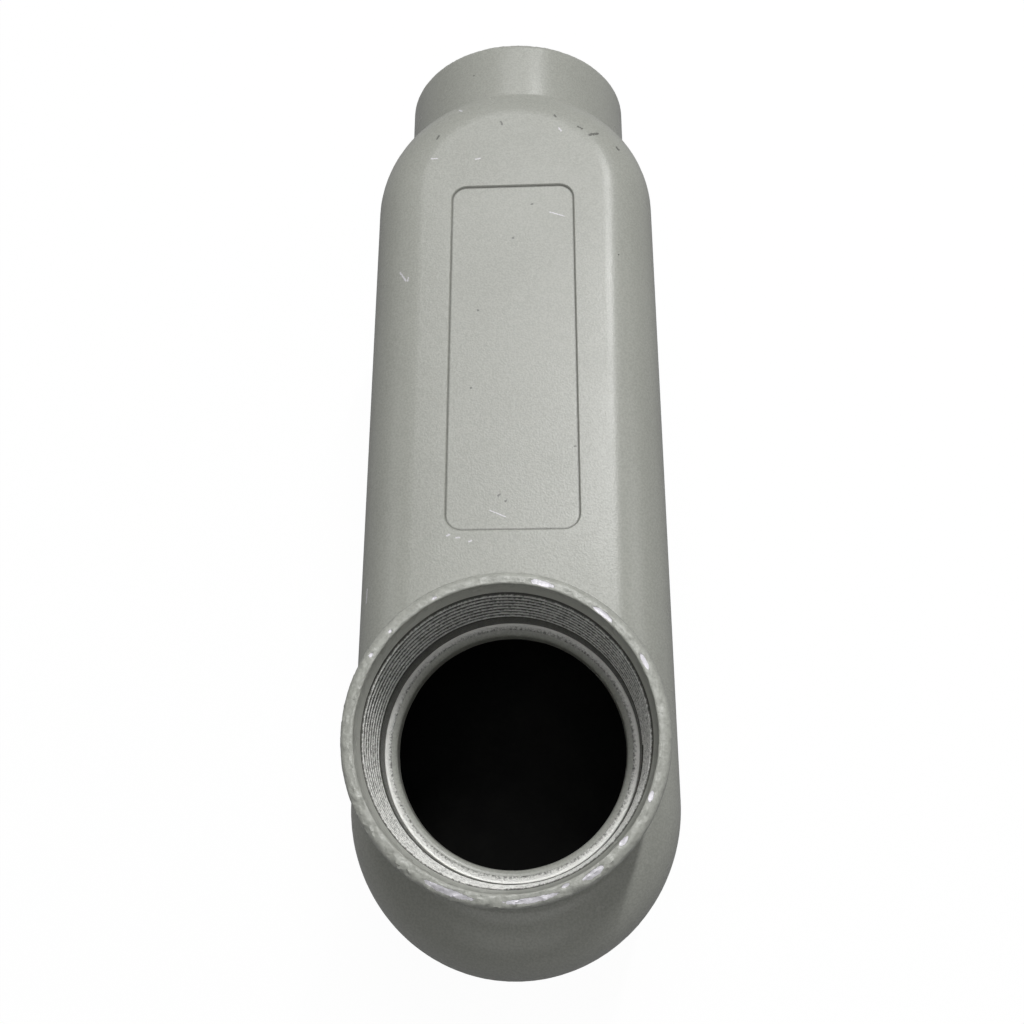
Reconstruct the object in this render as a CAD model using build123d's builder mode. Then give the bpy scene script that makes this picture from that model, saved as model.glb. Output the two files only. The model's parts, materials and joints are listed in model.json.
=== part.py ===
"""Conduit body, type LB, trade size 2: a die-cast elbow fitting with a cover.

The casting is a long round-ended box. One threaded hub, the branch, stands on
its back, and the other, the end hub, leaves its far end. The open front is
closed by a sheet of black rubber and a cover with four screws, and the fitting
stands on that cover.

Millimetres. +Z is up, the way the branch hub points, and +Y is the way the end
hub points. The origin is in the middle of the outer box, at the level that the
cover stands on.
"""
from build123d import *
from math import cos, radians, sin, tan
import os

# The shell, measured at its back face
shell_length = 230.8
shell_width = 74.4
shell_depth = 69.5
shoulder_radius = 14.0
shell_draft = 1.0
wall = 3.2
chamber_corner = 12.0

# Both hubs are the same size and are bored alike
hub_radius = 32.0
hub_root_fillet = 1.6
lip_outer_fillet = 1.8
lip_inner_chamfer = 0.5
mouth_radius = 29.3
lead_in_length = 5.6
bore_radius = 28.2
bore_depth = 28.3
throat_radius = 25.0
throat_fillet = 1.2
throat_length = 5.4

# Where the hubs stand on the shell
branch_height = 30.5
branch_from_near_end = 47.4
end_hub_reach = 13.4
end_hub_above_rim = 2.3

# The sunk label field on the back face
label_width = 32.5
label_length = 96.3
label_corner = 4.2
label_depth = 0.5
label_from_branch = 50.5

# The cover and its rubber sheet
gasket_thickness = 1.5
cover_thickness = 2.4
cover_rise = 2.6
cover_inset = 0.4
cover_edge_chamfer = 0.8
field_margin = 5.0
field_corner = 1.5
pad_radius = 5.6
rise_fillet = 0.6
field_taper = 20.0

# The cover screws and the columns that they turn into
screw_radius = 2.05
screw_clearance = 0.1
screw_hole_slack = 0.35
screw_length = 14.0
screw_head_radius = 3.95
screw_head_height = 2.2
screw_head_chamfer = 1.2
screw_slot_width = 1.1
screw_slot_depth = 1.0
screw_from_edge = 6.2
near_screw_angle = 36.0
screw_tip_chamfer = 0.5
screw_hole_depth = 13.0
far_screw_from_hub = 17.0
column_radius = 4.2

# Levels and places that follow from the sizes above
seat_z = cover_rise + cover_thickness
rim_z = seat_z + gasket_thickness
back_z = rim_z + shell_depth
branch_rim_z = back_z + branch_height
end_axis_z = rim_z + end_hub_above_rim + hub_radius
root_fillet = min(hub_root_fillet, (shell_width / 2 - hub_radius) / 3)
overall_length = shell_length + end_hub_reach
draft_growth = shell_depth * tan(radians(shell_draft))
near_end_y = -overall_length / 2 + draft_growth / 2
far_end_y = near_end_y + shell_length
end_rim_y = far_end_y + end_hub_reach
shell_mid_y = near_end_y + shell_length / 2
branch_y = near_end_y + branch_from_near_end
throat_end = bore_depth + throat_length
chamber_far_y = end_rim_y - throat_end

# The outline of the open front, which the rubber sheet and the cover follow
rim_length = shell_length + 2 * draft_growth
rim_width = shell_width + 2 * draft_growth

# The screws stand in pairs: round the near end, and beside the edges short of the end hub
screw_x = rim_width / 2 - screw_from_edge
near_screw_x = screw_x * cos(radians(near_screw_angle))
near_screw_y = near_end_y + shell_width / 2 - screw_x * sin(radians(near_screw_angle))
far_screw_y = chamber_far_y - far_screw_from_hub
screw_places = {
    "near_left": (-near_screw_x, near_screw_y),
    "near_right": (near_screw_x, near_screw_y),
    "far_left": (-screw_x, far_screw_y),
    "far_right": (screw_x, far_screw_y),
}

# Each hub is drawn in a plane that holds its axis: across is the radius, and up is out of the mouth
branch_plane = Plane(origin=(0, branch_y, branch_rim_z), x_dir=(1, 0, 0), z_dir=(0, -1, 0))
end_plane = Plane(origin=(0, end_rim_y, end_axis_z), x_dir=(1, 0, 0), z_dir=(0, 0, 1))
hub_planes = (branch_plane, end_plane)


# The hollow of the chamber, as the steel core that leaves it: a round near end,
# a flat far end in front of the end hub, and a groove for each screw column
with BuildPart() as chamber_core:
    with BuildSketch(Plane.XY.offset(rim_z)):
        with Locations((0, shell_mid_y)):
            SlotOverall(rim_length - 2 * wall, rim_width - 2 * wall, rotation=90)
        with Locations((0, chamber_far_y)):
            Rectangle(rim_width, rim_length, align=(Align.CENTER, Align.MIN), mode=Mode.SUBTRACT)
    extrude(amount=shell_depth - wall, taper=shell_draft)
    far_wall_sides = chamber_core.faces().sort_by(Axis.Y)[-1].edges().sort_by(Axis.X)
    fillet((far_wall_sides[0], far_wall_sides[-1]), chamber_corner)
    fillet(chamber_core.faces().sort_by(Axis.Z)[-1].edges(), shoulder_radius - wall)
    with BuildSketch(Plane.XY.offset(rim_z)):
        with Locations(*screw_places.values()):
            Circle(column_radius)
    extrude(amount=shell_depth, mode=Mode.SUBTRACT)


# The bore of a hub, the same for both: a drafted mouth, the straight bore that
# is tapped, a shoulder for the pipe's end, and the smooth throat behind it,
# which flares into the chamber
with BuildPart() as hub_cores:
    for hub_plane in hub_planes:
        with BuildSketch(hub_plane) as bore_profile:
            with BuildLine():
                Polyline(
                    (throat_radius + throat_fillet, -throat_end - wall),
                    (0, -throat_end - wall),
                    (0, 0),
                    (mouth_radius, 0),
                    (bore_radius, -lead_in_length),
                    (bore_radius, -bore_depth),
                    (throat_radius, -bore_depth),
                    (throat_radius, throat_fillet - throat_end),
                )
                flare = JernArc((throat_radius, throat_fillet - throat_end), (0, -1), throat_fillet, 90)
                Line(flare @ 1, (throat_radius + throat_fillet, -throat_end - wall))
            make_face()
            ledge_corner = bore_profile.vertices().sort_by_distance((throat_radius, -bore_depth))[0]
            fillet(ledge_corner, throat_fillet)
        revolve(axis=Axis(hub_plane.origin, hub_plane.y_dir))


# The casting: shell, hubs, bores and chamber are one piece of metal
with BuildPart() as body_casting:
    with BuildSketch(Plane.XY.offset(rim_z)):
        with Locations((0, shell_mid_y)):
            SlotOverall(rim_length, rim_width, rotation=90)
    extrude(amount=shell_depth, taper=shell_draft)
    fillet(body_casting.faces().sort_by(Axis.Z)[-1].edges(), shoulder_radius)

    with BuildSketch(Plane.XY.offset(branch_rim_z)):
        with Locations((0, branch_y)):
            Circle(hub_radius)
    extrude(amount=-branch_height - shoulder_radius)
    fillet(body_casting.edges(Select.NEW), root_fillet)

    with BuildSketch(Plane(origin=end_plane.origin, x_dir=(1, 0, 0), z_dir=(0, 1, 0))):
        Circle(hub_radius)
    extrude(amount=-end_hub_reach - shell_width / 2)
    fillet(body_casting.edges(Select.NEW), root_fillet)

    add(hub_cores.part, mode=Mode.SUBTRACT)
    for hub_plane in hub_planes:
        flat_faces = body_casting.faces().filter_by(GeomType.PLANE)
        lip_edges = flat_faces.sort_by_distance(hub_plane.origin)[0].edges().sort_by(SortBy.RADIUS)
        chamfer(lip_edges[0], lip_inner_chamfer)
        flat_faces = body_casting.faces().filter_by(GeomType.PLANE)
        lip_edges = flat_faces.sort_by_distance(hub_plane.origin)[0].edges().sort_by(SortBy.RADIUS)
        fillet(lip_edges[-1], lip_outer_fillet)

    add(chamber_core.part, mode=Mode.SUBTRACT)

    with BuildSketch(Plane.XY.offset(rim_z)):
        with Locations(*screw_places.values()):
            Circle(screw_radius + screw_clearance)
    extrude(amount=screw_hole_depth, mode=Mode.SUBTRACT)

    with BuildSketch(Plane.XY.offset(back_z)):
        with Locations((0, branch_y + label_from_branch + label_length / 2)):
            RectangleRounded(label_width, label_length, label_corner)
    extrude(amount=-label_depth, mode=Mode.SUBTRACT)

body_casting.part.label = "body_casting"


# The rubber sheet between the casting and the cover, a plain black blank with
# four holes: it closes the whole opening
with BuildPart() as gasket:
    with BuildSketch(Plane.XY.offset(seat_z)):
        with Locations((0, shell_mid_y)):
            SlotOverall(rim_length - 2 * cover_inset, rim_width - 2 * cover_inset, rotation=90)
        with Locations(*screw_places.values()):
            Circle(screw_radius + screw_hole_slack, mode=Mode.SUBTRACT)
    extrude(amount=gasket_thickness)

gasket.part.label = "gasket"


# The cover, cast with a raised field that the fitting stands on. The field
# leaves a round pad free for each screw head, and is hollow behind.
with BuildPart() as cover:
    with BuildSketch(Plane.XY.offset(cover_rise)):
        with Locations((0, shell_mid_y)):
            SlotOverall(rim_length - 2 * cover_inset, rim_width - 2 * cover_inset, rotation=90)
    extrude(amount=cover_thickness)
    chamfer(cover.faces().sort_by(Axis.Z)[0].edges(), cover_edge_chamfer)

    with BuildSketch(Plane.XY.offset(cover_rise)) as raised_field:
        with Locations((0, shell_mid_y)):
            SlotOverall(rim_length - 2 * field_margin, rim_width - 2 * field_margin, rotation=90)
        with Locations(*screw_places.values()):
            Circle(pad_radius, mode=Mode.SUBTRACT)
        pad_arcs = raised_field.edges().filter_by(GeomType.CIRCLE).group_by(SortBy.RADIUS)[0]
        fillet(pad_arcs.vertices(), field_corner)
    extrude(amount=-cover_rise, taper=field_taper)
    fillet(cover.faces().sort_by(Axis.Z)[0].edges(), rise_fillet)

    with BuildSketch(Plane.XY.offset(seat_z)) as hollow_field:
        with Locations((0, shell_mid_y)):
            SlotOverall(
                rim_length - 2 * (field_margin + cover_thickness),
                rim_width - 2 * (field_margin + cover_thickness),
                rotation=90,
            )
        with Locations(*screw_places.values()):
            Circle(pad_radius + cover_thickness, mode=Mode.SUBTRACT)
        hollow_pad_arcs = hollow_field.edges().filter_by(GeomType.CIRCLE).group_by(SortBy.RADIUS)[0]
        fillet(hollow_pad_arcs.vertices(), field_corner)
    extrude(amount=-cover_rise, mode=Mode.SUBTRACT)

    with BuildSketch(Plane.XY.offset(cover_rise)):
        with Locations(*screw_places.values()):
            Circle(screw_radius + screw_hole_slack)
    extrude(amount=cover_thickness, mode=Mode.SUBTRACT)

cover.part.label = "cover"


def cover_screw(place_x, place_y):
    """A slotted pan-head screw, head down against its pad, turned into its column."""
    with BuildPart() as screw:
        with BuildSketch(Plane.XY.offset(cover_rise)):
            with Locations((place_x, place_y)):
                Circle(screw_head_radius)
        extrude(amount=-screw_head_height)
        chamfer(screw.faces().sort_by(Axis.Z)[0].edges(), screw_head_chamfer)
        with BuildSketch(Plane.XY.offset(cover_rise - screw_head_height)):
            with Locations((place_x, place_y)):
                Rectangle(2 * screw_head_radius, screw_slot_width)
        extrude(amount=screw_slot_depth, mode=Mode.SUBTRACT)
        with BuildSketch(Plane.XY.offset(cover_rise)):
            with Locations((place_x, place_y)):
                Circle(screw_radius)
        extrude(amount=screw_length)
        chamfer(screw.faces().sort_by(Axis.Z)[-1].edges(), screw_tip_chamfer)
    return screw.part


os.makedirs("parts", exist_ok=True)
export_step(body_casting.part, "parts/body_casting.step")
export_step(gasket.part, "parts/gasket.step")
export_step(cover.part, "parts/cover.step")
for place_name, (place_x, place_y) in screw_places.items():
    screw = cover_screw(place_x, place_y)
    screw.label = "cover_screw_" + place_name
    export_step(screw, "parts/" + screw.label + ".step")
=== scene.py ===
"""Conduit body, type LB, trade size 2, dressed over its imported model.

Metres, +Z up. The fitting stands on its cover with its back up, the branch hub
points up and the end hub points along +Y.
"""

import json
from math import cos, degrees, pi, radians, sin, tau

import bmesh
import bpy
from mathutils import Matrix, Vector, noise


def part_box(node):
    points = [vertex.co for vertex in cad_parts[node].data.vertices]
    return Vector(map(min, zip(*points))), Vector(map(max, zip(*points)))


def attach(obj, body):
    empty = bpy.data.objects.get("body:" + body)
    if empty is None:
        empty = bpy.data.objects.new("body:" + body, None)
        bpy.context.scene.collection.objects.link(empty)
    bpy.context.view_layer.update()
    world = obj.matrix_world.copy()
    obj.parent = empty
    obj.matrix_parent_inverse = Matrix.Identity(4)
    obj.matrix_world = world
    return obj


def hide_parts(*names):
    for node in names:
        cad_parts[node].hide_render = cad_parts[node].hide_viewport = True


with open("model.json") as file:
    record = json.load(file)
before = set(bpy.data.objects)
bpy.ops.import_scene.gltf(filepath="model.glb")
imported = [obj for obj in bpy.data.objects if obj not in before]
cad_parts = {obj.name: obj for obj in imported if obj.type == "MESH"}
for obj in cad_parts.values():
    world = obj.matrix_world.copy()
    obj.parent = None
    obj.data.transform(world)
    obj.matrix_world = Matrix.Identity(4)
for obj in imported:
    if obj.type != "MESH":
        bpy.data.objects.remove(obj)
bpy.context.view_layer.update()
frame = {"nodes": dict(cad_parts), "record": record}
nodes = frame["nodes"]
mounts = {mount["name"]: mount for mount in frame["record"]["mounts"]}
mm = 0.001


# Satin grey enamel, sprayed over the casting and the cover alike. It dries with
# a fine orange peel, gathers a little dust in patches and shows small pinholes.
def new_group(name, inputs, outputs):
    """An empty shader node group with its sockets, and its input and output nodes."""
    group = bpy.data.node_groups.new(name, "ShaderNodeTree")
    for label, kind, value in inputs:
        socket = group.interface.new_socket(label, in_out="INPUT", socket_type=kind)
        socket.default_value = value
    for label, kind in outputs:
        group.interface.new_socket(label, in_out="OUTPUT", socket_type=kind)
    return group, group.nodes.new("NodeGroupInput"), group.nodes.new("NodeGroupOutput")


def add_noise(tree, coordinates, scale, detail=2.0, roughness=0.5):
    """A noise texture on the given coordinates; its factor output."""
    texture = tree.nodes.new("ShaderNodeTexNoise")
    tree.links.new(coordinates, texture.inputs["Vector"])
    texture.inputs["Scale"].default_value = scale
    texture.inputs["Detail"].default_value = detail
    texture.inputs["Roughness"].default_value = roughness
    return texture.outputs["Fac"]


def map_range(tree, value, low, high, to_low=0.0, to_high=1.0):
    """The value stretched from one range to another, smoothly and clamped."""
    node = tree.nodes.new("ShaderNodeMapRange")
    node.interpolation_type = "SMOOTHSTEP"
    tree.links.new(value, node.inputs["Value"])
    node.inputs["From Min"].default_value = low
    node.inputs["From Max"].default_value = high
    node.inputs["To Min"].default_value = to_low
    node.inputs["To Max"].default_value = to_high
    return node.outputs["Result"]


def calculate(tree, operation, first, second=0.0, third=None):
    """A math node; each operand is a socket or a number."""
    node = tree.nodes.new("ShaderNodeMath")
    node.operation = operation
    for index, operand in enumerate((first, second, third)):
        if operand is None:
            continue
        if isinstance(operand, (int, float)):
            node.inputs[index].default_value = operand
        else:
            tree.links.new(operand, node.inputs[index])
    return node.outputs[0]


def calculate_vector(tree, operation, first, second=None):
    """A vector math node; the second operand is a socket, three numbers or left out."""
    node = tree.nodes.new("ShaderNodeVectorMath")
    node.operation = operation
    tree.links.new(first, node.inputs[0])
    if isinstance(second, bpy.types.NodeSocket):
        tree.links.new(second, node.inputs[1])
    elif second is not None:
        node.inputs[1].default_value = second
    return node.outputs["Value" if operation == "LENGTH" else "Vector"]


def mix_colours(tree, factor, first, second):
    """One colour over another; each is a socket or four numbers."""
    node = tree.nodes.new("ShaderNodeMix")
    node.data_type = "RGBA"
    tree.links.new(factor, node.inputs["Factor"])
    for socket, colour in ((node.inputs[6], first), (node.inputs[7], second)):
        if isinstance(colour, tuple):
            socket.default_value = colour
        else:
            tree.links.new(colour, socket)
    return node.outputs[2]


enamel_grain, grain_in, grain_out = new_group(
    "enamel_grain",
    [("Coordinates", "NodeSocketVector", (0, 0, 0)), ("Peel Size", "NodeSocketFloat", 1.1)],
    [("Height", "NodeSocketFloat"), ("Patches", "NodeSocketFloat"), ("Pinholes", "NodeSocketFloat")],
)
per_peel = calculate(enamel_grain, "DIVIDE", 1000.0, grain_in.outputs["Peel Size"])
peel = enamel_grain.nodes.new("ShaderNodeTexNoise")
enamel_grain.links.new(grain_in.outputs["Coordinates"], peel.inputs["Vector"])
enamel_grain.links.new(per_peel, peel.inputs["Scale"])
peel.inputs["Detail"].default_value = 3.0
enamel_grain.links.new(peel.outputs[0], grain_out.inputs["Height"])
patches = add_noise(enamel_grain, grain_in.outputs["Coordinates"], 38.0, 4.0, 0.6)
enamel_grain.links.new(patches, grain_out.inputs["Patches"])
pinhole_cells = enamel_grain.nodes.new("ShaderNodeTexVoronoi")
enamel_grain.links.new(grain_in.outputs["Coordinates"], pinhole_cells.inputs["Vector"])
pinhole_cells.inputs["Scale"].default_value = 95.0
pinholes = map_range(enamel_grain, pinhole_cells.outputs["Distance"], 0.014, 0.024, 1.0, 0.0)
enamel_grain.links.new(pinholes, grain_out.inputs["Pinholes"])


def add_grain(tree, coordinates, peel_size):
    """The enamel's grain in a material, with the size of its orange peel."""
    grain = tree.nodes.new("ShaderNodeGroup")
    grain.node_tree = enamel_grain
    tree.links.new(coordinates, grain.inputs["Coordinates"])
    grain.inputs["Peel Size"].default_value = peel_size
    return grain


def new_material(name):
    """A material with its Principled shader, and the piece's own coordinates."""
    material = bpy.data.materials.new(name)
    material.use_nodes = True
    tree = material.node_tree
    shader = tree.nodes["Principled BSDF"]
    coordinates = tree.nodes.new("ShaderNodeTexCoord").outputs["Object"]
    return material, tree, shader, coordinates


def add_bump(tree, shader, height, distance):
    """A bump of the given height in metres on the shader's normal."""
    bump = tree.nodes.new("ShaderNodeBump")
    bump.inputs["Strength"].default_value = 1.0
    bump.inputs["Distance"].default_value = distance
    tree.links.new(height, bump.inputs["Height"])
    tree.links.new(bump.outputs["Normal"], shader.inputs["Normal"])


def surface_value(tree, name):
    """The value that the casting's mesh holds under a name."""
    attribute = tree.nodes.new("ShaderNodeAttribute")
    attribute.attribute_name = name
    return attribute.outputs["Fac"]


branch_axis_y = mounts["branch_hub"]["pos_m"][1]
enamel_colour = (0.447, 0.455, 0.413, 1.0)
dusty_colour = (0.425, 0.433, 0.392, 1.0)
pinhole_colour = (0.14, 0.14, 0.13, 1.0)
crease_shade_colour = (0.10, 0.10, 0.09, 1.0)
lead_in_painted_light_colour = (0.84, 0.85, 0.78, 1.0)
pale_colour = (0.58, 0.59, 0.54, 1.0)
bare_colour = (0.88, 0.86, 0.91, 1.0)

casting_enamel, tree, shader, coordinates = new_material("casting_enamel")
grain = add_grain(tree, coordinates, 0.48)
dust = map_range(tree, grain.outputs["Patches"], 0.35, 0.75)
colour = mix_colours(tree, dust, enamel_colour, dusty_colour)
speckle = map_range(tree, grain.outputs["Height"], 0.35, 0.65)
colour = mix_colours(tree, calculate(tree, "MULTIPLY", speckle, 0.5), colour, pale_colour)
colour = mix_colours(tree, grain.outputs["Pinholes"], colour, pinhole_colour)

# Painted shade in the foot of the label field's step, as a rounded rectangle's outline.
# The field's place is counted from the branch hub's axis to its near end
label_width = 32.5 * mm
label_length = 96.3 * mm
label_start = 50.5 * mm
label_corner = 4.2 * mm
label_slope = 0.45 * mm
foot_corner = label_corner - label_slope
lowest_back_z = 60 * mm
label_middle = (0, branch_axis_y + label_start + label_length / 2, 0)
corner_place = (label_width / 2 - label_corner, label_length / 2 - label_corner, 1.0)
folded = calculate_vector(tree, "ABSOLUTE", calculate_vector(tree, "SUBTRACT", coordinates, label_middle))
to_corner = calculate_vector(tree, "SUBTRACT", folded, corner_place)
past_corner = calculate_vector(tree, "LENGTH", calculate_vector(tree, "MAXIMUM", to_corner, (0, 0, 0)))
sides = tree.nodes.new("ShaderNodeSeparateXYZ")
tree.links.new(to_corner, sides.inputs[0])
inner = calculate(tree, "MINIMUM", calculate(tree, "MAXIMUM", sides.outputs["X"], sides.outputs["Y"]), 0.0)
past_foot = calculate(tree, "SUBTRACT", calculate(tree, "ADD", past_corner, inner), foot_corner)
crease_shade = map_range(tree, calculate(tree, "ABSOLUTE", past_foot), 0.12 * mm, 0.34 * mm, 1.0, 0.0)
heights = tree.nodes.new("ShaderNodeSeparateXYZ")
tree.links.new(coordinates, heights.inputs[0])
on_back = calculate(tree, "GREATER_THAN", heights.outputs["Z"], lowest_back_z)
# The crease is darkened by about half as painted shade, only on the back.
crease_shade = calculate(tree, "MULTIPLY", calculate(tree, "MULTIPLY", crease_shade, on_back), 0.55)
colour = mix_colours(tree, crease_shade, colour, crease_shade_colour)

# Scuffs, specks and scratches of handling: a mark is a short ragged stroke
worn_mark, mark_in, mark_out = new_group(
    "worn_mark",
    [
        ("Coordinates", "NodeSocketVector", (0, 0, 0)),
        ("Centre", "NodeSocketVector", (0, 0, 0)),
        ("Turn", "NodeSocketFloat", 0.0),
        ("Half Length", "NodeSocketFloat", 1 * mm),
        ("Half Width", "NodeSocketFloat", 0.3 * mm),
    ],
    [("Mask", "NodeSocketFloat")],
)
mark_place = mark_in.outputs["Coordinates"]
from_centre = calculate_vector(worn_mark, "SUBTRACT", mark_place, mark_in.outputs["Centre"])
turned = worn_mark.nodes.new("ShaderNodeVectorRotate")
turned.rotation_type = "Z_AXIS"
worn_mark.links.new(from_centre, turned.inputs["Vector"])
worn_mark.links.new(mark_in.outputs["Turn"], turned.inputs["Angle"])
split = worn_mark.nodes.new("ShaderNodeSeparateXYZ")
worn_mark.links.new(turned.outputs[0], split.inputs[0])
past_end = calculate(worn_mark, "ABSOLUTE", split.outputs["X"])
past_end = calculate(worn_mark, "SUBTRACT", past_end, mark_in.outputs["Half Length"])
past_end = calculate(worn_mark, "POWER", calculate(worn_mark, "MAXIMUM", past_end, 0.0), 2.0)
off_line = calculate(worn_mark, "POWER", calculate(worn_mark, "ABSOLUTE", split.outputs["Y"]), 2.0)
away = calculate(worn_mark, "SQRT", calculate(worn_mark, "ADD", past_end, off_line))
away = calculate(worn_mark, "DIVIDE", away, mark_in.outputs["Half Width"])
raggedness = add_noise(worn_mark, mark_in.outputs["Coordinates"], 2200.0, 3.0, 0.7)
away = calculate(worn_mark, "MULTIPLY_ADD", calculate(worn_mark, "SUBTRACT", raggedness, 0.5), 3.2, away)
worn_mark.links.new(map_range(worn_mark, away, 0.6, 1.1, 1.0, 0.0), mark_out.inputs["Mask"])

# Each mark's place on the back in millimetres, its turn in degrees, half its
# length and half its width
dark_marks = [
    (21.8, 88.5, 20, 1.2, 0.45),
    (-3.0, 92.6, -70, 0.5, 0.3),
    (11.5, 94.5, -60, 0.4, 0.28),
    (18.2, 90.5, -30, 0.7, 0.3),
    (28.2, 84.8, -50, 0.5, 0.3),
    (-20.3, 88.8, 60, 0.6, 0.28),
    (5.1, 66.8, 0, 0.1, 0.28),
    (0.1, 56.6, 0, 0.1, 0.32),
    (-8.8, 35.5, 0, 0.1, 0.26),
    (-10.3, 13.7, 0, 0.1, 0.24),
    (-3.2, -14.6, 40, 0.25, 0.24),
    (-1.6, -16.1, 40, 0.2, 0.22),
    (15.1, -2.3, 0, 0.1, 0.3),
]
pale_marks = [
    (-14.4, 98.6, -50, 0.6, 0.26),
    (-9.3, 81.2, 10, 0.6, 0.22),
    (-21.0, 81.7, 0, 0.8, 0.2),
    (-28.4, 46.1, -60, 1.6, 0.24),
    (-27.0, 45.0, 80, 0.5, 0.2),
    (12.8, 89.9, -60, 0.6, 0.28),
    (-34.8, -37.6, 88, 1.7, 0.2),
    (11.6, 63.5, -20, 2.0, 0.2),
    (-15.1, -24.6, 30, 0.3, 0.24),
    (-12.8, -25.2, 0, 0.5, 0.22),
    (-9.9, -26.1, 20, 0.3, 0.24),
    (-3.6, -19.2, -24, 2.1, 0.16),
]


def all_marks(places):
    """The masks of some marks, put together."""
    together = None
    for along_x, along_y, turn, half_length, half_width in places:
        mark = tree.nodes.new("ShaderNodeGroup")
        mark.node_tree = worn_mark
        tree.links.new(coordinates, mark.inputs["Coordinates"])
        mark.inputs["Centre"].default_value = (along_x * mm, along_y * mm, 0)
        mark.inputs["Turn"].default_value = radians(-turn)
        mark.inputs["Half Length"].default_value = half_length * mm
        mark.inputs["Half Width"].default_value = half_width * mm
        mask = mark.outputs["Mask"]
        together = mask if together is None else calculate(tree, "MAXIMUM", together, mask)
    return calculate(tree, "MULTIPLY", together, on_back)


mark_cover = 0.8
for places, mark_colour in ((dark_marks, pinhole_colour), (pale_marks, bare_colour)):
    marked = calculate(tree, "MULTIPLY", all_marks(places), mark_cover)
    colour = mix_colours(tree, marked, colour, mark_colour)

# Round the mouths the enamel is mottled over a rough lip, and it is rubbed and
# chipped down to the metal in places
lip = surface_value(tree, "lip")
mottle = add_noise(tree, coordinates, 560.0, 4.0, 0.7)
# The lead-in is coloured far lighter than the enamel: painted light on an inner wall that the lamps leave in
# shade.
colour = mix_colours(tree, surface_value(tree, "lead_in"), colour, lead_in_painted_light_colour)
mottled = calculate(tree, "MULTIPLY", map_range(tree, mottle, 0.42, 0.62), lip)
colour = mix_colours(tree, calculate(tree, "MULTIPLY", mottled, 0.75), colour, pale_colour)
rubbed = surface_value(tree, "rubbed")
ragged = add_noise(tree, coordinates, 1100.0, 4.0, 0.65)
bare = map_range(tree, calculate(tree, "MULTIPLY_ADD", ragged, 0.9, rubbed), 0.87, 0.93)
colour = mix_colours(tree, bare, colour, bare_colour)
tree.links.new(colour, shader.inputs["Base Color"])
tree.links.new(calculate(tree, "MULTIPLY", bare, 0.2), shader.inputs["Metallic"])
satin = map_range(tree, grain.outputs["Patches"], 0.3, 0.8, 0.25, 0.31)
tree.links.new(calculate(tree, "MULTIPLY_ADD", bare, 0.16, satin), shader.inputs["Roughness"])

# The heights of these, in the peel's own depth
peel_depth = 0.045 * mm
bare_depth = 2.2
pinhole_depth = 2.5
lip_depth = 5.0
surface = calculate(tree, "MULTIPLY_ADD", bare, -bare_depth, grain.outputs["Height"])
surface = calculate(tree, "MULTIPLY_ADD", grain.outputs["Pinholes"], -pinhole_depth, surface)
surface = calculate(tree, "MULTIPLY_ADD", calculate(tree, "MULTIPLY", mottle, lip), lip_depth, surface)
add_bump(tree, shader, surface, peel_depth)


# The casting's shell: one die-cast aluminium box with a domed back and two hub
# stubs. Its drafted sides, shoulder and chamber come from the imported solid, and
# only the ends of the hubs are made anew, with their lips, threads and throats.
_, casting_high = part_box("body_casting")
branch_rim_z = casting_high[2]
end_rim_y = casting_high[1]
end_axis_z = mounts["end_hub"]["pos_m"][2]
back_z = branch_rim_z - 30.5 * mm

# Down from each hub's mouth: where its throat ends in the chamber's roof, and
# where its outside is cut off. Then how far from its axis its bore reaches, and
# how near the roof a point still counts as on it
throat_end = 33.7 * mm
hub_cut = 8.0 * mm
bore_reach = 29.95 * mm
roof_margin = 0.02 * mm

# Each hub's own frame has its origin in the middle of the mouth and +Z out of it
branch_frame = Matrix.Translation((0, branch_axis_y, branch_rim_z))
end_frame = Matrix.Translation((0, end_rim_y, end_axis_z)) @ Matrix.Rotation(-pi / 2, 4, "X")

shell = bmesh.new()
shell.from_mesh(nodes["body_casting"].data)
bmesh.ops.remove_doubles(shell, verts=shell.verts, dist=1e-6)
for hub_frame in (branch_frame, end_frame):
    to_hub = hub_frame.inverted()
    in_hub = {vert: to_hub @ vert.co for vert in shell.verts}
    in_reach = {vert for vert, place in in_hub.items() if place.xy.length < bore_reach}
    in_bore = {vert for vert in in_reach if in_hub[vert].z > -throat_end - roof_margin}
    on_roof = {vert for vert in in_bore if in_hub[vert].z < -throat_end + roof_margin}
    bore_faces = [
        face for face in shell.faces if in_bore.issuperset(face.verts) and not on_roof.issuperset(face.verts)
    ]
    bmesh.ops.delete(shell, geom=bore_faces, context="FACES")
    hub_faces = [face for face in shell.faces if max((to_hub @ vert.co).z for vert in face.verts) > -hub_cut]
    hub_edges = dict.fromkeys(edge for face in hub_faces for edge in face.edges)
    hub_verts = dict.fromkeys(vert for face in hub_faces for vert in face.verts)
    bmesh.ops.bisect_plane(
        shell,
        geom=[*hub_faces, *hub_edges, *hub_verts],
        plane_co=hub_frame @ Vector((0, 0, -hub_cut)),
        plane_no=hub_frame.to_3x3() @ Vector((0, 0, 1)),
        clear_outer=True,
    )

# The label field is sunk with sloping sides, so its floor's outline draws in
label_low = Vector((-label_width / 2, branch_axis_y + label_start))
label_high = label_low + Vector((label_width, label_length))
label_floor_z = back_z - 0.5 * mm
for vert in shell.verts:
    if abs(vert.co.z - label_floor_z) < 0.01 * mm and label_low.x - mm < vert.co.x < label_high.x + mm:
        corner_x = min(max(vert.co.x, label_low.x + label_corner), label_high.x - label_corner)
        corner_y = min(max(vert.co.y, label_low.y + label_corner), label_high.y - label_corner)
        outward = Vector((vert.co.x - corner_x, vert.co.y - corner_y, 0))
        if outward.length > label_corner - 0.3 * mm:
            vert.co -= outward.normalized() * label_slope
shell_mesh = bpy.data.meshes.new("casting_shell")
shell.to_mesh(shell_mesh)
shell.free()


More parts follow.
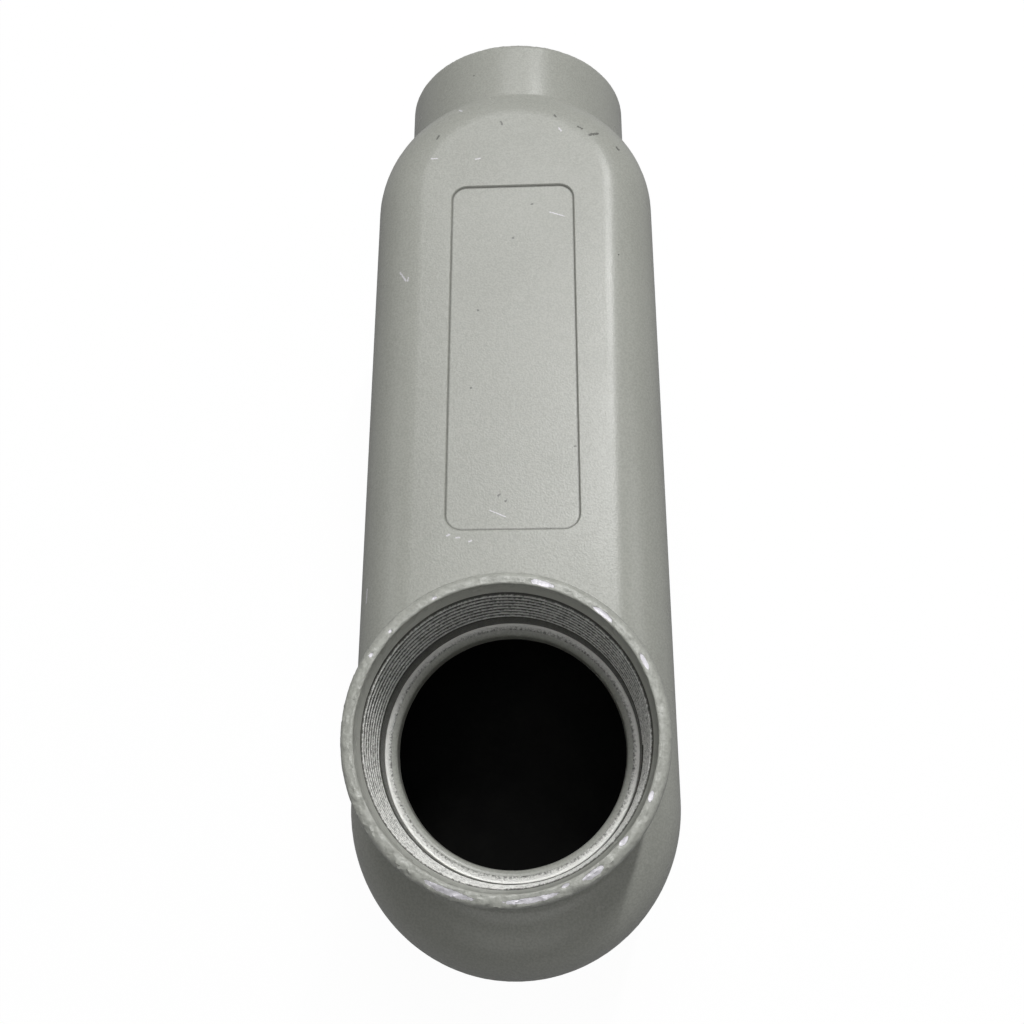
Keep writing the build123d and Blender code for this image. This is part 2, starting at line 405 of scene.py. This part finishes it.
# The hubs' ends, the same on both: a lip that is rounded outside and lumpy with
# enamel, a drafted lead-in, the tapped wall, a plain bore, the shoulder that
# stops the pipe, and a smooth throat that flares into the chamber.
hub_radius = 32.0 * mm
hub_segments = 420
lip_depth_end = 2.5
coarsest_side = radians(-125)


def arc_points(centre_across, centre_depth, radius, start, end, steps):
    """Points on an arc of a profile, in millimetres across and down from the mouth."""
    return [
        (
            centre_across + radius * cos(radians(start + (end - start) * step / steps)),
            centre_depth - radius * sin(radians(start + (end - start) * step / steps)),
        )
        for step in range(steps + 1)
    ]


def line_points(start, end, steps):
    """Points on a straight part of a profile, without its first."""
    return [
        (start[0] + (end[0] - start[0]) * step / steps, start[1] + (end[1] - start[1]) * step / steps)
        for step in range(1, steps + 1)
    ]


# The profile's places in millimetres, across from the hub's axis and down from
# its mouth, in the order of the cut
outside = 32.0
lip_round = 1.6
lip_edge = outside - lip_round
mouth_round = 0.4
lead_in_top = 29.3
lead_in_foot = (28.65, 4.5)
thread_top_root = (29.3, 5.0)
thread_foot_root = (28.8, 21.6)
plain_bore = 27.66
plain_bore_top = 22.6
ledge_round = 0.3
ledge_depth = 28.3
ledge_inside = 26.2
throat_round = 1.2
throat = ledge_inside - throat_round
throat_foot = 32.5

lip_profile = [(outside, 7.6), (outside, 5.0), (outside, 3.0)]
lip_profile += arc_points(lip_edge, lip_round, lip_round, 0, 90, 8)
lip_profile += line_points((lip_edge, 0.0), (lead_in_top + mouth_round, 0.0), 4)
lip_profile += arc_points(lead_in_top + mouth_round, mouth_round, mouth_round, 90, 180, 4)[1:]
lip_profile += line_points((lead_in_top, mouth_round), lead_in_foot, 8)
bore_profile = [(28.75, 4.68), thread_top_root]
bore_profile += line_points(thread_top_root, thread_foot_root, 14)
bore_profile += line_points(thread_foot_root, (plain_bore, plain_bore_top), 3)
bore_profile += line_points((plain_bore, plain_bore_top), (plain_bore, ledge_depth - ledge_round), 8)
bore_profile += arc_points(plain_bore - ledge_round, ledge_depth - ledge_round, ledge_round, 0, -90, 3)[1:]
bore_profile += line_points((plain_bore - ledge_round, ledge_depth), (ledge_inside, ledge_depth), 4)
throat_profile = arc_points(ledge_inside, ledge_depth + throat_round, throat_round, 90, 180, 6)[1:]
throat_profile += line_points((throat, ledge_depth + throat_round), (throat, throat_foot), 4)
throat_profile += arc_points(ledge_inside, throat_foot, throat_round, 180, 250, 5)[1:]
hub_profile = lip_profile + bore_profile + throat_profile
tapped_rows = range(len(lip_profile) - 1, len(lip_profile) + len(bore_profile) - 1)

# Chips and rubs on the lip: the angle round the hub and the place across it, in
# degrees and millimetres, then how long and how wide each one is
rub_depth_end = 1.4
lip_middle = 30.2
branch_rubs = [
    (75.7, 30.2, 4.8, 1.2),
    (49.7, 30.0, 5.0, 1.0),
    (26.1, 30.3, 3.4, 1.0),
    (150.4, 30.4, 1.1, 0.7),
    (118.2, 30.0, 0.9, 0.6),
    (139.1, 30.2, 0.9, 0.6),
    (-110.0, 30.7, 9.4, 1.2),
    (-80.9, 30.7, 9.8, 1.0),
    (-57.4, 30.5, 4.6, 1.3),
    (-23.8, 29.9, 2.2, 0.9),
    (-42.3, 29.8, 2.2, 0.9),
    (-68.0, 29.9, 1.6, 0.6),
]
end_rubs = [(12.0, 30.3, 7.0, 0.9), (80.0, 30.5, 6.0, 0.8), (141.0, 30.1, 4.0, 0.8), (-100.0, 30.4, 8.0, 0.9)]


def rub_at(rubs, angle, across, depth):
    """How rubbed a point of the lip is, from 0 to 1."""
    if depth > rub_depth_end:
        return 0.0
    most = 0.0
    for rub_angle, rub_across, length, width in rubs:
        turn = (degrees(angle) - rub_angle + 180) % 360 - 180
        along = radians(turn) * lip_middle / (length / 2)
        side = (across - rub_across) / (width / 2)
        most = max(most, 1.0 - (along * along + side * side) * 0.5)
    return max(most, 0.0)


def lip_lift(swirl, angle, near_lip, rub, lumpiness):
    """How far the enamel's lumps and rubs lift a point of the lip, in metres."""
    coarse = 1.0 + 0.5 * cos(angle - coarsest_side)
    lump = noise.noise(swirl * 0.42) * 0.16 + noise.noise(swirl * 1.15) * 0.15 * coarse
    lump += (max(0.0, noise.noise(swirl * 1.8) - 0.25) - 0.05) * 0.65 * coarse
    return ((lump - 0.11) * near_lip - 0.14 * rub * lumpiness) * mm


def lead_in_share(across, depth):
    """How much a point belongs to the lead-in, from 0 to 1."""
    if depth > lead_in_foot[1] + 0.3:
        return 0.0
    return min(max((lead_in_top + 0.2 - across) / 0.3, 0.0), 1.0)


def bore_shine(across, depth):
    """How bright a point of the bore is coloured: the ledge most, the plain bore partly, and the roots of the
    tapped wall left dark as painted shade.
    """
    if depth > ledge_depth - ledge_round + 0.05:
        return 1.1 - 0.3 * max(27.4 - across, 0.0) / 1.2
    return 0.55 if depth > plain_bore_top - 0.4 else 0.0


def lathe_hub(hub_frame, rubs, seed, lumpiness):
    """A hub's turned end with its lumps: vertices, faces, slots and surface values."""
    verts, faces, slots = [], [], []
    values = {"rubbed": [], "lip": [], "lead_in": [], "bright_metal_and_painted_light": []}
    for across, depth in hub_profile:
        for segment in range(hub_segments):
            angle = tau * segment / hub_segments
            rub = rub_at(rubs, angle, across, depth)
            near_lip = max(0.0, 1.0 - depth / lip_depth_end) * lumpiness
            swirl = Vector((across * cos(angle), across * sin(angle), depth + seed))
            lift = lip_lift(swirl, angle, near_lip, rub, lumpiness)
            wall = (0.03 * noise.noise(swirl * 0.25) + 0.05 * noise.noise(swirl * 1.6) * near_lip) * mm
            outside_lift = lift * 0.5 if across > lip_edge else 0.0
            reach = min(across * mm + wall + outside_lift, hub_radius)
            place = Vector((reach * cos(angle), reach * sin(angle), min(lift, 0) - depth * mm))
            verts.append(hub_frame @ place)
            values["rubbed"].append(rub)
            values["lip"].append(near_lip)
            values["lead_in"].append(lead_in_share(across, depth))
            values["bright_metal_and_painted_light"].append(bore_shine(across, depth))
    for row in range(len(hub_profile) - 1):
        for segment in range(hub_segments):
            after = (segment + 1) % hub_segments
            upper, lower = row * hub_segments, (row + 1) * hub_segments
            faces.append((upper + segment, upper + after, lower + after, lower + segment))
            slots.append(1 if row in tapped_rows else 0)
    return verts, faces, slots, values


# The thread: a single ridge that winds up the wall of each bore, cut by a tap
# after casting, so it is bare and a little torn at its crest, and painted bright there as a highlight.
def tree_input(tree, label, kind, value):
    """A named input of a Geometry Nodes tree, with its starting value."""
    socket = tree.interface.new_socket(label, in_out="INPUT", socket_type=kind)
    if value is not None:
        socket.default_value = value
    return socket


thread_tree = bpy.data.node_groups.new("pipe_thread", "GeometryNodeTree")
thread_sizes = {
    "Turns": ("NodeSocketFloat", 7.75),
    "Pitch": ("NodeSocketFloat", 2.209 * mm),
    "Steps per Turn": ("NodeSocketInt", 360),
    "First Radius": ("NodeSocketFloat", 28.85 * mm),
    "Last Radius": ("NodeSocketFloat", 29.35 * mm),
    "Ridge Height": ("NodeSocketFloat", 1.25 * mm),
    "Crest Width": ("NodeSocketFloat", 0.42 * mm),
    "Root Width": ("NodeSocketFloat", 1.75 * mm),
    "Run Out Turns": ("NodeSocketFloat", 0.35),
    "Torn Crest": ("NodeSocketFloat", 0.16 * mm),
    "Material": ("NodeSocketMaterial", None),
}
thread_inputs = {label: tree_input(thread_tree, label, *value) for label, value in thread_sizes.items()}
thread_tree.interface.new_socket("Geometry", in_out="OUTPUT", socket_type="NodeSocketGeometry")
thread_in = thread_tree.nodes.new("NodeGroupInput")
thread_out = thread_tree.nodes.new("NodeGroupOutput")
link = thread_tree.links.new

spiral = thread_tree.nodes.new("GeometryNodeCurveSpiral")
link(thread_in.outputs["Steps per Turn"], spiral.inputs["Resolution"])
link(thread_in.outputs["Turns"], spiral.inputs["Rotations"])
link(thread_in.outputs["First Radius"], spiral.inputs["Start Radius"])
link(thread_in.outputs["Last Radius"], spiral.inputs["End Radius"])
thread_height = calculate(thread_tree, "MULTIPLY", thread_in.outputs["Turns"], thread_in.outputs["Pitch"])
link(thread_height, spiral.inputs["Height"])
spiral.inputs["Reverse"].default_value = True
upright = thread_tree.nodes.new("GeometryNodeSetCurveNormal")
upright.mode = "Z_UP"
link(spiral.outputs["Curve"], upright.inputs["Curve"])
along = thread_tree.nodes.new("GeometryNodeSplineParameter").outputs["Factor"]
turns_in = calculate(thread_tree, "MULTIPLY", along, thread_in.outputs["Turns"])
turns_left = calculate(thread_tree, "SUBTRACT", thread_in.outputs["Turns"], turns_in)
to_an_end = calculate(thread_tree, "MINIMUM", turns_in, turns_left)
fade = calculate(thread_tree, "DIVIDE", to_an_end, thread_in.outputs["Run Out Turns"])
fade = calculate(thread_tree, "MINIMUM", calculate(thread_tree, "MAXIMUM", fade, 0.03), 1.0)
faded = thread_tree.nodes.new("GeometryNodeSetCurveRadius")
link(upright.outputs["Curve"], faded.inputs["Curve"])
link(fade, faded.inputs["Radius"])
ridge_section = thread_tree.nodes.new("GeometryNodeCurvePrimitiveQuadrilateral")
ridge_section.mode = "TRAPEZOID"
link(thread_in.outputs["Ridge Height"], ridge_section.inputs["Height"])
link(thread_in.outputs["Root Width"], ridge_section.inputs["Bottom Width"])
link(thread_in.outputs["Crest Width"], ridge_section.inputs["Top Width"])
ridge_section.inputs["Offset"].default_value = 0.0
placed_section = thread_tree.nodes.new("GeometryNodeTransform")
link(ridge_section.outputs["Curve"], placed_section.inputs["Geometry"])
placed_section.inputs["Rotation"].default_value = (0, 0, pi / 2)
inward = thread_tree.nodes.new("ShaderNodeCombineXYZ")
link(calculate(thread_tree, "MULTIPLY", thread_in.outputs["Ridge Height"], -0.38), inward.inputs["X"])
link(inward.outputs["Vector"], placed_section.inputs["Translation"])
ridge = thread_tree.nodes.new("GeometryNodeCurveToMesh")
link(faded.outputs["Curve"], ridge.inputs["Curve"])
link(placed_section.outputs["Geometry"], ridge.inputs["Profile Curve"])
ridge.inputs["Fill Caps"].default_value = True
torn = thread_tree.nodes.new("GeometryNodeSetPosition")
link(ridge.outputs["Mesh"], torn.inputs["Geometry"])
tear_noise = thread_tree.nodes.new("ShaderNodeTexNoise")
link(thread_tree.nodes.new("GeometryNodeInputPosition").outputs["Position"], tear_noise.inputs["Vector"])
tear_noise.inputs["Scale"].default_value = 950.0
tear_noise.inputs["Detail"].default_value = 2.0
centred = calculate_vector(thread_tree, "SUBTRACT", tear_noise.outputs["Color"], (0.5, 0.5, 0.5))
tear = thread_tree.nodes.new("ShaderNodeVectorMath")
tear.operation = "SCALE"
link(centred, tear.inputs[0])
link(thread_in.outputs["Torn Crest"], tear.inputs["Scale"])
link(tear.outputs["Vector"], torn.inputs["Offset"])
realized = thread_tree.nodes.new("GeometryNodeRealizeInstances")
link(torn.outputs["Geometry"], realized.inputs["Geometry"])
finished = thread_tree.nodes.new("GeometryNodeSetMaterial")
link(realized.outputs["Geometry"], finished.inputs["Geometry"])
link(thread_in.outputs["Material"], finished.inputs["Material"])
link(finished.outputs["Geometry"], thread_out.inputs["Geometry"])

# The tapped wall: bright bare metal at the crests the tap left, with a painted highlight,
# dark in the roots with overspray, old cutting oil and painted shade, and pitted where it tore the casting
tapped_metal, tree, shader, coordinates = new_material("tapped_metal")
root_overspray_and_shade_colour = (0.095, 0.096, 0.083, 1.0)
crest_metal_and_highlight_colour = (0.97, 0.97, 0.93, 1.0)
pits = add_noise(tree, coordinates, 1700.0, 4.0, 0.7)
off_middle = calculate(tree, "SUBTRACT", pits, 0.5)
torn_shine = calculate(tree, "MULTIPLY_ADD", off_middle, 0.7, surface_value(tree, "bright_metal_and_painted_light"))
bright = map_range(tree, torn_shine, 0.68, 1.02)
colour = mix_colours(tree, bright, root_overspray_and_shade_colour, crest_metal_and_highlight_colour)
tree.links.new(colour, shader.inputs["Base Color"])
tree.links.new(calculate(tree, "MULTIPLY", bright, 0.5), shader.inputs["Metallic"])
tree.links.new(map_range(tree, pits, 0.3, 0.7, 0.30, 0.50), shader.inputs["Roughness"])
add_bump(tree, shader, pits, 0.16 * mm)

thread_host = bpy.data.objects.new("thread_host", bpy.data.meshes.new("thread_host"))
bpy.context.scene.collection.objects.link(thread_host)
thread_maker = thread_host.modifiers.new("thread", "NODES")
thread_maker.node_group = thread_tree
thread_maker[thread_inputs["Material"].identifier] = tapped_metal
for label, (_, value) in thread_sizes.items():
    if value is not None:
        thread_maker[thread_inputs[label].identifier] = value
graph = bpy.context.evaluated_depsgraph_get()
thread_mesh = bpy.data.meshes.new_from_object(thread_host.evaluated_get(graph))
thread_host.modifiers.remove(thread_maker)
bpy.data.objects.remove(thread_host)
thread_top = 5.3 * mm
thread_length = thread_sizes["Turns"][1] * thread_sizes["Pitch"][1]
thread_end = thread_top + thread_length
first_radius = thread_sizes["First Radius"][1]
thread_taper = (thread_sizes["Last Radius"][1] - first_radius) / thread_length
full_shine_height = 1.05 * mm

# The whole casting in one piece: shell, both hubs' ends and both threads
verts, faces, slots = [], [], []
surface_values = {"rubbed": [], "lip": [], "lead_in": [], "bright_metal_and_painted_light": []}


def add_part(part_verts, part_faces, part_slots, part_values):
    """Adds one part of the casting's surface with its material slots and values."""
    first = len(verts)
    verts.extend(part_verts)
    faces.extend(tuple(first + index for index in face) for face in part_faces)
    slots.extend(part_slots)
    for name, kept in surface_values.items():
        kept.extend(part_values.get(name) or [0.0] * len(part_verts))


shell_faces = [tuple(face.vertices) for face in shell_mesh.polygons]
add_part([vert.co.copy() for vert in shell_mesh.vertices], shell_faces, [0] * len(shell_faces), {})
thread_faces = [tuple(face.vertices) for face in thread_mesh.polygons]
for hub_frame, rubs, seed, turn, lumpiness in (
    (branch_frame, branch_rubs, 3.0, 0.0, 1.0),
    (end_frame, end_rubs, 47.0, 2.0, 0.4),
):
    add_part(*lathe_hub(hub_frame, rubs, seed, lumpiness))
    to_hub = Matrix.Translation((0, 0, -thread_end)) @ Matrix.Rotation(turn, 4, "Z")
    in_hub = [to_hub @ vert.co for vert in thread_mesh.vertices]
    # The ridge is coloured lighter toward its crest, bare metal with a painted highlight, and darker toward
    # its foot as painted shade in the roots.
    ridge_heights = [
        max(first_radius + thread_taper * (place.z + thread_end) - place.xy.length, 0) for place in in_hub
    ]
    thread_shine = [min(height / full_shine_height, 1.0) for height in ridge_heights]
    thread_verts = [hub_frame @ place for place in in_hub]
    add_part(thread_verts, thread_faces, [1] * len(thread_faces), {"bright_metal_and_painted_light": thread_shine})

casting_mesh = bpy.data.meshes.new("conduit_casting")
casting_mesh.from_pydata(verts, [], faces)
casting_mesh.materials.append(casting_enamel)
casting_mesh.materials.append(tapped_metal)
casting_mesh.polygons.foreach_set("material_index", slots)
for name, kept in surface_values.items():
    casting_mesh.attributes.new(name, "FLOAT", "POINT").data.foreach_set("value", kept)

# Each hub's turned end is joined to the shell outside and to the chamber inside
outer_seam = (7.5 * mm, hub_cut + 0.1 * mm)
inner_seam = (throat_end - 0.2 * mm, throat_end + 0.1 * mm)


def in_seam(place, shallow, deep):
    """Whether a point in a hub's own frame lies in a ring of that hub."""
    return place.xy.length < hub_radius + mm and shallow < -place.z < deep


seams = bmesh.new()
seams.from_mesh(casting_mesh)
for hub_frame in (branch_frame, end_frame):
    to_hub = hub_frame.inverted()
    for shallow, deep in (outer_seam, inner_seam):
        ring_edges = [
            edge
            for edge in seams.edges
            if edge.is_boundary and all(in_seam(to_hub @ vert.co, shallow, deep) for vert in edge.verts)
        ]
        bmesh.ops.bridge_loops(seams, edges=ring_edges)
for face in seams.faces:
    face.smooth = True
seams.to_mesh(casting_mesh)
seams.free()
casting_mesh.update()
casting_mesh.set_sharp_from_angle(angle=radians(32))
casting = bpy.data.objects.new("conduit_casting", casting_mesh)
bpy.context.scene.collection.objects.link(casting)
even_normals = casting.modifiers.new("even_normals", "WEIGHTED_NORMAL")
even_normals.keep_sharp = True
even_normals.mode = "FACE_AREA_WITH_ANGLE"
bpy.data.meshes.remove(shell_mesh)
bpy.data.meshes.remove(thread_mesh)
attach(casting, "root")
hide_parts("body_casting")


# The rubber sheet: a blank punched from black neoprene, as wide as the cover.
# It is pinched between the casting and the cover and closes the whole opening.
gasket_rubber, tree, shader, coordinates = new_material("gasket_neoprene")
bloom = add_noise(tree, coordinates, 60.0, 4.0, 0.6)
rubber_black = (0.006, 0.006, 0.006, 1.0)
bloomed_black = (0.013, 0.013, 0.012, 1.0)
colour = mix_colours(tree, map_range(tree, bloom, 0.4, 0.75), rubber_black, bloomed_black)
tree.links.new(colour, shader.inputs["Base Color"])
shader.inputs["Roughness"].default_value = 0.75
shader.inputs["Specular IOR Level"].default_value = 0.2
add_bump(tree, shader, add_noise(tree, coordinates, 2200.0, 2.0), 0.03 * mm)
nodes["gasket"].material_slots[0].material = gasket_rubber


# The cover: a thin aluminium casting with a raised field, in the same enamel as
# the fitting. Four screws hold it down, and the fitting stands on its field.
cover_enamel, tree, shader, coordinates = new_material("cover_enamel")
grain = add_grain(tree, coordinates, 0.9)
dust = map_range(tree, grain.outputs["Patches"], 0.3, 0.7)
clean_enamel_colour = (0.462, 0.470, 0.427, 1.0)
colour = mix_colours(tree, dust, clean_enamel_colour, dusty_colour)
colour = mix_colours(tree, grain.outputs["Pinholes"], colour, pinhole_colour)
tree.links.new(colour, shader.inputs["Base Color"])
tree.links.new(map_range(tree, grain.outputs["Patches"], 0.3, 0.8, 0.38, 0.52), shader.inputs["Roughness"])
add_bump(tree, shader, grain.outputs["Height"], 0.05 * mm)
nodes["cover"].material_slots[0].material = cover_enamel


# The cover screws: slotted pan heads in bright zinc plate, turned down on their
# pads until the rubber sheet is pinched all round.
screw_zinc, tree, shader, coordinates = new_material("screw_zinc_plate")
brushing = add_noise(tree, coordinates, 900.0, 3.0, 0.6)
bright_zinc = (0.62, 0.62, 0.60, 1.0)
dull_zinc = (0.50, 0.50, 0.49, 1.0)
colour = mix_colours(tree, map_range(tree, brushing, 0.35, 0.65), bright_zinc, dull_zinc)
tree.links.new(colour, shader.inputs["Base Color"])
shader.inputs["Metallic"].default_value = 1.0
tree.links.new(map_range(tree, brushing, 0.3, 0.7, 0.25, 0.42), shader.inputs["Roughness"])
add_bump(tree, shader, brushing, 0.01 * mm)
for name, node in nodes.items():
    if name.startswith("cover_screw"):
        node.material_slots[0].material = screw_zinc


# The floor and the light: a pale table under plain softboxes, two large ones
# above, a strip that draws the highlight along the right shoulder, and weak fills.
floor_reach = 6
floor_corners = [(-1, -1), (1, -1), (1, 1), (-1, 1)]
floor_mesh = bpy.data.meshes.new("floor")
floor_verts = [(side_x * floor_reach, side_y * floor_reach, 0) for side_x, side_y in floor_corners]
floor_mesh.from_pydata(floor_verts, [], [(0, 1, 2, 3)])
floor = bpy.data.objects.new("floor", floor_mesh)
bpy.context.scene.collection.objects.link(floor)
floor_finish = bpy.data.materials.new("pale_table")
floor_finish.use_nodes = True
tree = floor_finish.node_tree
shader = tree.nodes["Principled BSDF"]
shader.inputs["Base Color"].default_value = (0.30, 0.30, 0.30, 1.0)
shader.inputs["Roughness"].default_value = 0.9
shader.inputs["Specular IOR Level"].default_value = 0.1

# The camera sees mostly white, with enough of the table left to show the shadow
seen_white = 1.14
share_of_white = 0.85
share_in_gloss = 0.12
white = tree.nodes.new("ShaderNodeEmission")
white.inputs["Color"].default_value = (1, 1, 1, 1)
white.inputs["Strength"].default_value = seen_white
shown = tree.nodes.new("ShaderNodeMixShader")
ray = tree.nodes.new("ShaderNodeLightPath")
in_gloss = calculate(tree, "MULTIPLY", ray.outputs["Is Glossy Ray"], share_in_gloss)
seen = calculate(tree, "MAXIMUM", ray.outputs["Is Camera Ray"], in_gloss)
seen = calculate(tree, "MAXIMUM", seen, ray.outputs["Is Transmission Ray"])
tree.links.new(calculate(tree, "MULTIPLY", seen, share_of_white), shown.inputs[0])
tree.links.new(shader.outputs[0], shown.inputs[1])
tree.links.new(white.outputs[0], shown.inputs[2])
tree.links.new(shown.outputs[0], tree.nodes["Material Output"].inputs["Surface"])
floor_mesh.materials.append(floor_finish)

world = bpy.data.worlds.new("studio")
world.use_nodes = True
tree = world.node_tree
sky = tree.nodes["Background"]
sky.inputs["Color"].default_value = (1, 1, 1, 1)
ray = tree.nodes.new("ShaderNodeLightPath")
seen = calculate(tree, "MAXIMUM", ray.outputs["Is Camera Ray"], ray.outputs["Is Transmission Ray"])
dim_sky = 0.03
far_floor_white = 0.97
sky_strength = calculate(tree, "MULTIPLY_ADD", seen, far_floor_white - dim_sky, dim_sky)
tree.links.new(sky_strength, sky.inputs["Strength"])
bpy.context.scene.world = world


def add_softbox(name, place, target, width, height, power):
    """A rectangular area light that faces a point of the object."""
    lamp = bpy.data.lights.new(name, "AREA")
    lamp.shape = "RECTANGLE"
    lamp.size = width
    lamp.size_y = height
    lamp.energy = power
    holder = bpy.data.objects.new(name, lamp)
    holder.location = place
    holder.rotation_euler = (Vector(target) - Vector(place)).to_track_quat("-Z", "Y").to_euler()
    holder.visible_camera = False
    bpy.context.scene.collection.objects.link(holder)


add_softbox("overhead", (0.0, -0.1, 1.0), (0, 0, 0.05), 0.6, 0.6, 1.15)
add_softbox("main", (-0.03, 0.48, 0.93), (0, 0, 0.05), 0.26, 0.70, 1.98)
add_softbox("right_strip", (0.21, 0.50, 0.95), (0.02, 0, 0.06), 0.04, 0.66, 4.3)
add_softbox("right_fill", (0.72, 0.10, 0.68), (0, 0, 0.05), 0.5, 0.4, 0.85)
add_softbox("left_fill", (-0.72, 0.10, 0.60), (0, 0, 0.05), 0.5, 0.4, 0.42)
add_softbox("front_fill", (0.0, -0.75, 0.58), (0, 0, 0.05), 0.6, 0.5, 0.4)

camera_data = bpy.data.cameras.new("camera")
camera_data.sensor_width = 36.0
camera_data.lens = 36.839
camera_data.clip_start = 0.005
camera = bpy.data.objects.new("camera", camera_data)
camera.location = (11.179 * mm, branch_axis_y - 26.315 * mm, back_z + 233.086 * mm)
camera.rotation_euler = (0.335398, 0.048092, 0.000716)
bpy.context.scene.collection.objects.link(camera)
bpy.context.scene.camera = camera
bpy.context.scene.view_settings.view_transform = "Standard"
